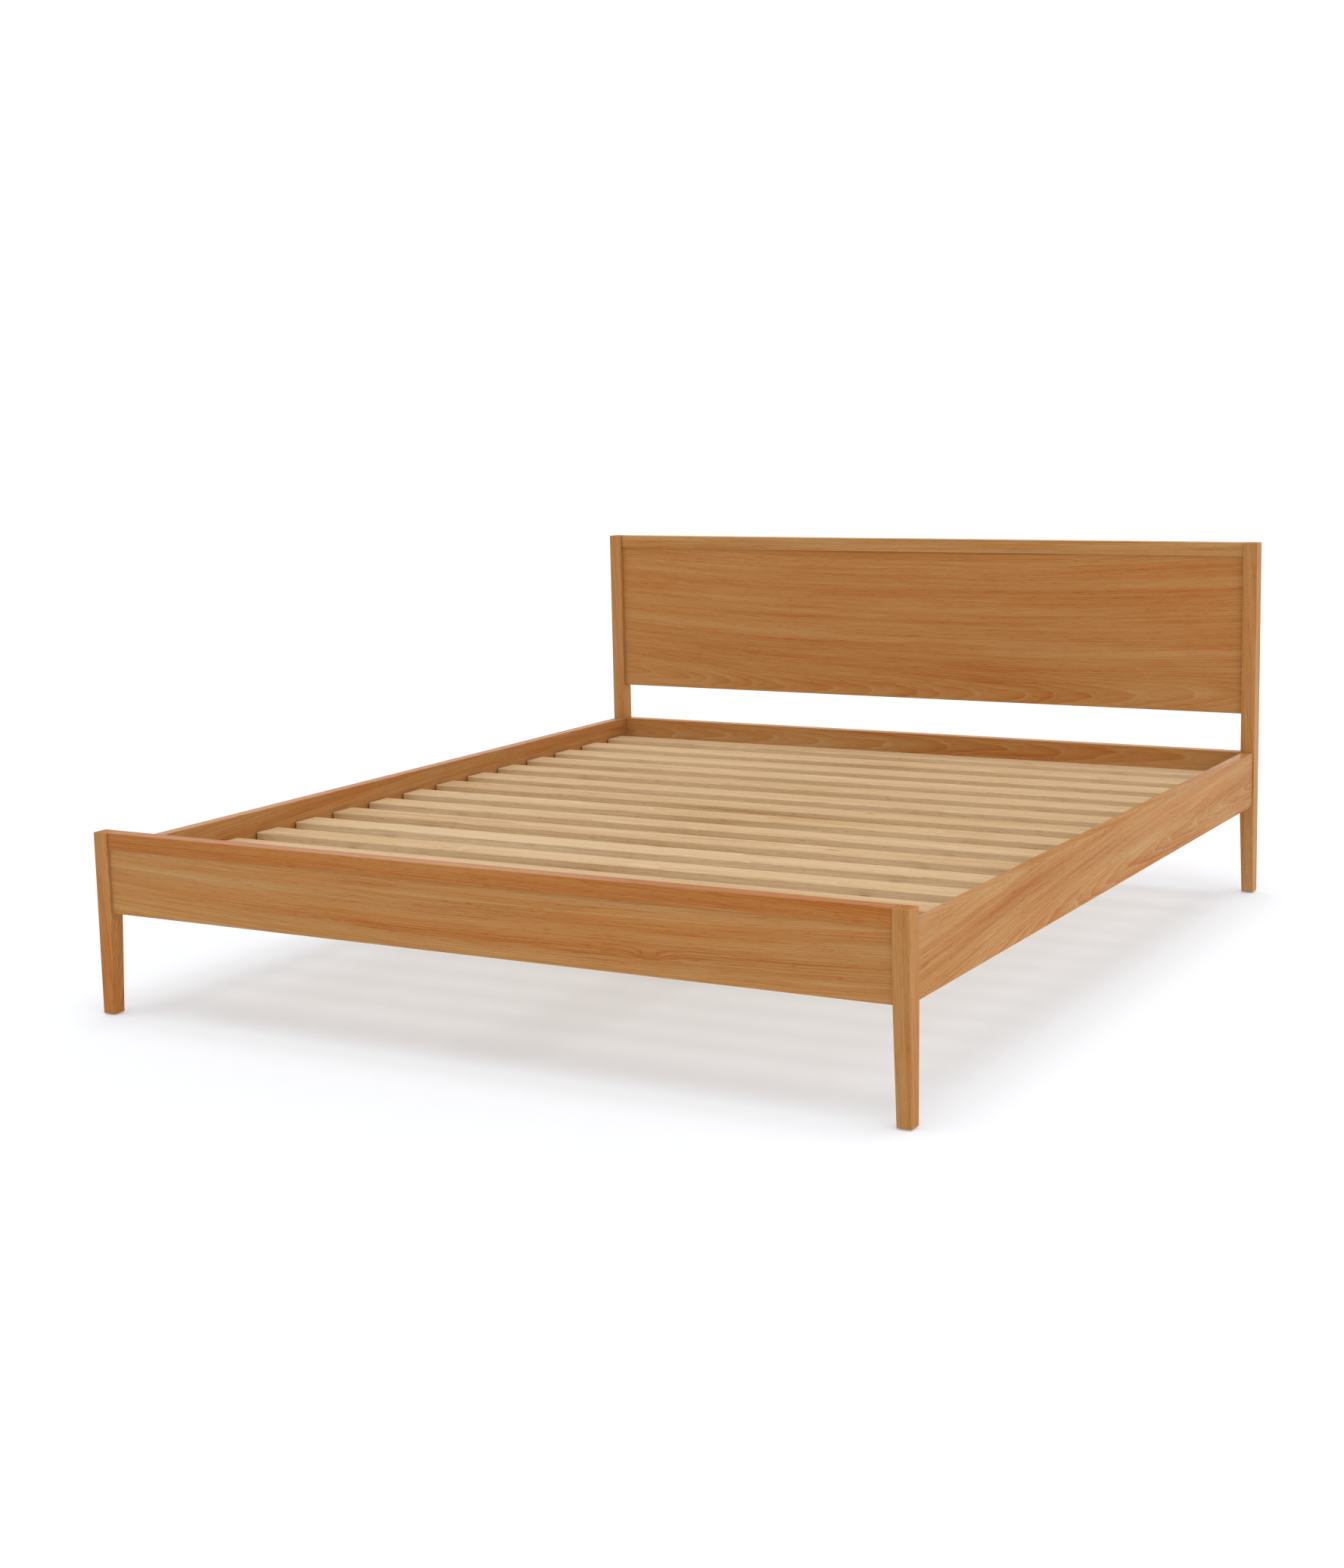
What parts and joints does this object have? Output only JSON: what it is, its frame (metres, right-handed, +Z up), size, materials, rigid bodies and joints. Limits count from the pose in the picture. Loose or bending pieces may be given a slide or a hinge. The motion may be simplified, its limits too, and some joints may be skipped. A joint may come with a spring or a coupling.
{
  "type": "bed frame",
  "caption": "Solid-wood bed frame with a low panelled footboard, a raised headboard panel, tapered posts, thick side rails, and a slatted deck on a centre beam with levelling feet.",
  "frame": {"origin": "on the floor, under the middle of the frame's plan", "axes": "+Z up, +Y towards the headboard, +X to the right as seen from the foot"},
  "size_m": [1.911, 2.233, 0.9065],
  "materials": {
    "show_wood": "satin clear finish over warm cherry-brown solid wood, straight to cathedral grain along each board",
    "slat_wood": "unfinished pale softwood",
    "steel": "zinc plated",
    "nylon": "moulded, matte",
    "webbing": "plain woven polypropylene webbing"
  },
  "bodies": {
    "frame": {"beam_hanger_foot": "steel", "beam_hanger_head": "steel", "centre_beam": "slat_wood", "foot_cap_rail": "show_wood", "foot_panel": "show_wood", "foot_post_left": "show_wood", "foot_post_right": "show_wood", "glide_foot_left": "nylon", "glide_foot_right": "nylon", "glide_head_left": "nylon", "glide_head_right": "nylon", "hanger_screw_foot_left": "steel", "hanger_screw_foot_right": "steel", "hanger_screw_head_left": "steel", "hanger_screw_head_right": "steel", "head_cap_rail": "show_wood", "head_cross_rail": "show_wood", "head_panel": "show_wood", "head_post_left": "show_wood", "head_post_right": "show_wood", "leg_insert_foot": "steel", "leg_insert_head": "steel", "post_slot_plate_foot_left": "steel", "post_slot_plate_foot_right": "steel", "post_slot_plate_head_left": "steel", "post_slot_plate_head_right": "steel", "rail_hook_foot_left": "steel", "rail_hook_foot_right": "steel", "rail_hook_head_left": "steel", "rail_hook_head_right": "steel", "side_rail_left": "show_wood", "side_rail_right": "show_wood", "slat_01": "slat_wood", "slat_02": "slat_wood", "slat_03": "slat_wood", "slat_04": "slat_wood", "slat_05": "slat_wood", "slat_06": "slat_wood", "slat_07": "slat_wood", "slat_08": "slat_wood", "slat_09": "slat_wood", "slat_10": "slat_wood", "slat_11": "slat_wood", "slat_12": "slat_wood", "slat_13": "slat_wood", "slat_14": "slat_wood", "slat_15": "slat_wood", "slat_ledger_left": "slat_wood", "slat_ledger_right": "slat_wood", "slat_screw_foot_left": "steel", "slat_screw_foot_right": "steel", "slat_screw_head_left": "steel", "slat_screw_head_right": "steel", "slat_strap_left": "webbing", "slat_strap_right": "webbing", "support_leg_foot": "slat_wood", "support_leg_head": "slat_wood"},
    "foot_leveller": {"leveller_foot": "steel"},
    "head_leveller": {"leveller_head": "steel"}
  },
  "joints": [
    {"name": "foot_leveller_screw", "type": "slide", "parent": "frame", "child": "foot_leveller", "axis": [0, 0, 1], "range_m": [-0.01, 0.01]},
    {"name": "head_leveller_screw", "type": "slide", "parent": "frame", "child": "head_leveller", "axis": [0, 0, 1], "range_m": [-0.01, 0.01]}
  ]
}
